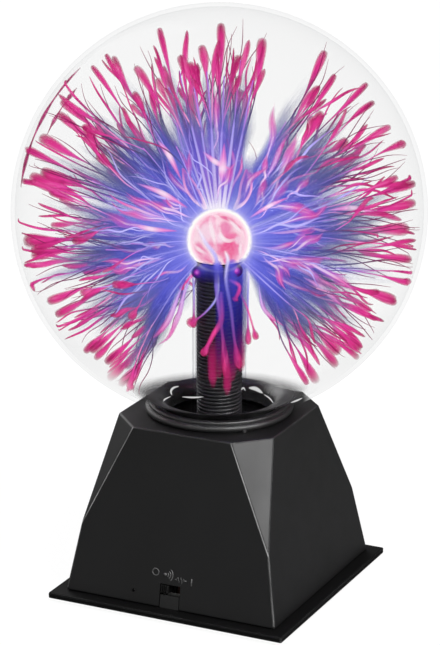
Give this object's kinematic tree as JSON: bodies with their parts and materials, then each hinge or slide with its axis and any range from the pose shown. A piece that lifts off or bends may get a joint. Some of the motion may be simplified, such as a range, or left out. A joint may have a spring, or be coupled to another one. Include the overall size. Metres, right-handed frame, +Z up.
{
  "type": "plasma ball",
  "caption": "Desk plasma ball: a sealed clear glass globe with a central electrode on a faceted square plastic base that holds its driver and a slide switch.",
  "frame": {"origin": "on the table, under the middle of the square base", "axes": "+Z up the globe's axis, -Y to the front wall with the switch, +X to the right as seen from the front"},
  "size_m": [0.203, 0.203, 0.2946],
  "materials": {
    "body_plastic": "fine-textured black moulded plastic",
    "collar_plastic": "semi-gloss black moulding",
    "foot_rubber": "soft black rubber",
    "globe_glass": "clear blown glass",
    "stem_glass": "clear thin glass tube and bulb",
    "steel_wool": "fine steel wool, lit pink by the discharge",
    "coil_wire": "blackened close-wound wire",
    "plated_steel": "bright zinc plate",
    "knob_plastic": "smooth black",
    "switch_case": "brown phenolic",
    "jack_plastic": "smooth black",
    "jack_brass": "bright turned brass",
    "microphone_can": "drawn aluminium can",
    "heat_sink": "mill-finish extrusion",
    "board_laminate": "green solder mask",
    "ferrite": "dark grey sintered ferrite",
    "primary_copper": "enamelled copper wire",
    "insulating_tape": "yellow polyester tape",
    "epoxy_case": "black moulding compound",
    "film_case": "dipped red case",
    "capacitor_sleeve": "shrunk dark blue sleeve",
    "red_wire": "smooth insulation",
    "black_wire": "smooth insulation",
    "white_wire": "thick silicone insulation"
  },
  "bodies": {
    "base": {"base_plate": "body_plastic", "base_screw_1": "plated_steel", "base_screw_2": "plated_steel", "base_screw_3": "plated_steel", "base_screw_4": "plated_steel", "board_screw_1": "plated_steel", "board_screw_2": "plated_steel", "board_screw_3": "plated_steel", "board_screw_4": "plated_steel", "circuit_board": "board_laminate", "coil_former": "body_plastic", "collar_ring": "collar_plastic", "contact_wool": "steel_wool", "electrode_coil": "coil_wire", "electrode_stem": "stem_glass", "film_capacitor": "film_case", "filter_capacitor": "capacitor_sleeve", "foot_front_left": "foot_rubber", "foot_front_right": "foot_rubber", "foot_rear_left": "foot_rubber", "foot_rear_right": "foot_rubber", "globe_glass": "globe_glass", "heat_sink": "heat_sink", "housing": "body_plastic", "hv_lead": "white_wire", "jack_nut": "plated_steel", "jack_pin": "jack_brass", "microphone": "microphone_can", "microphone_lead": "black_wire", "neck_cushion": "foot_rubber", "neck_socket": "body_plastic", "power_jack": "jack_plastic", "power_lead_negative": "black_wire", "power_lead_positive": "red_wire", "power_transistor": "epoxy_case", "primary_winding": "primary_copper", "secondary_winding": "insulating_tape", "socket_screw_1": "plated_steel", "socket_screw_2": "plated_steel", "socket_screw_3": "plated_steel", "stem_plug": "foot_rubber", "switch_case": "switch_case", "switch_frame": "plated_steel", "switch_lead_a": "red_wire", "switch_lead_b": "white_wire", "switch_screw_1": "plated_steel", "switch_screw_2": "plated_steel", "timer_chip": "epoxy_case", "transformer_bobbin": "switch_case", "transformer_core": "ferrite", "transistor_screw": "plated_steel"},
    "knob": {"switch_knob": "knob_plastic"}
  },
  "joints": [
    {"name": "switch_slide", "type": "slide", "parent": "base", "child": "knob", "axis": [1, 0, 0], "range_m": [0, 0.006]}
  ]
}
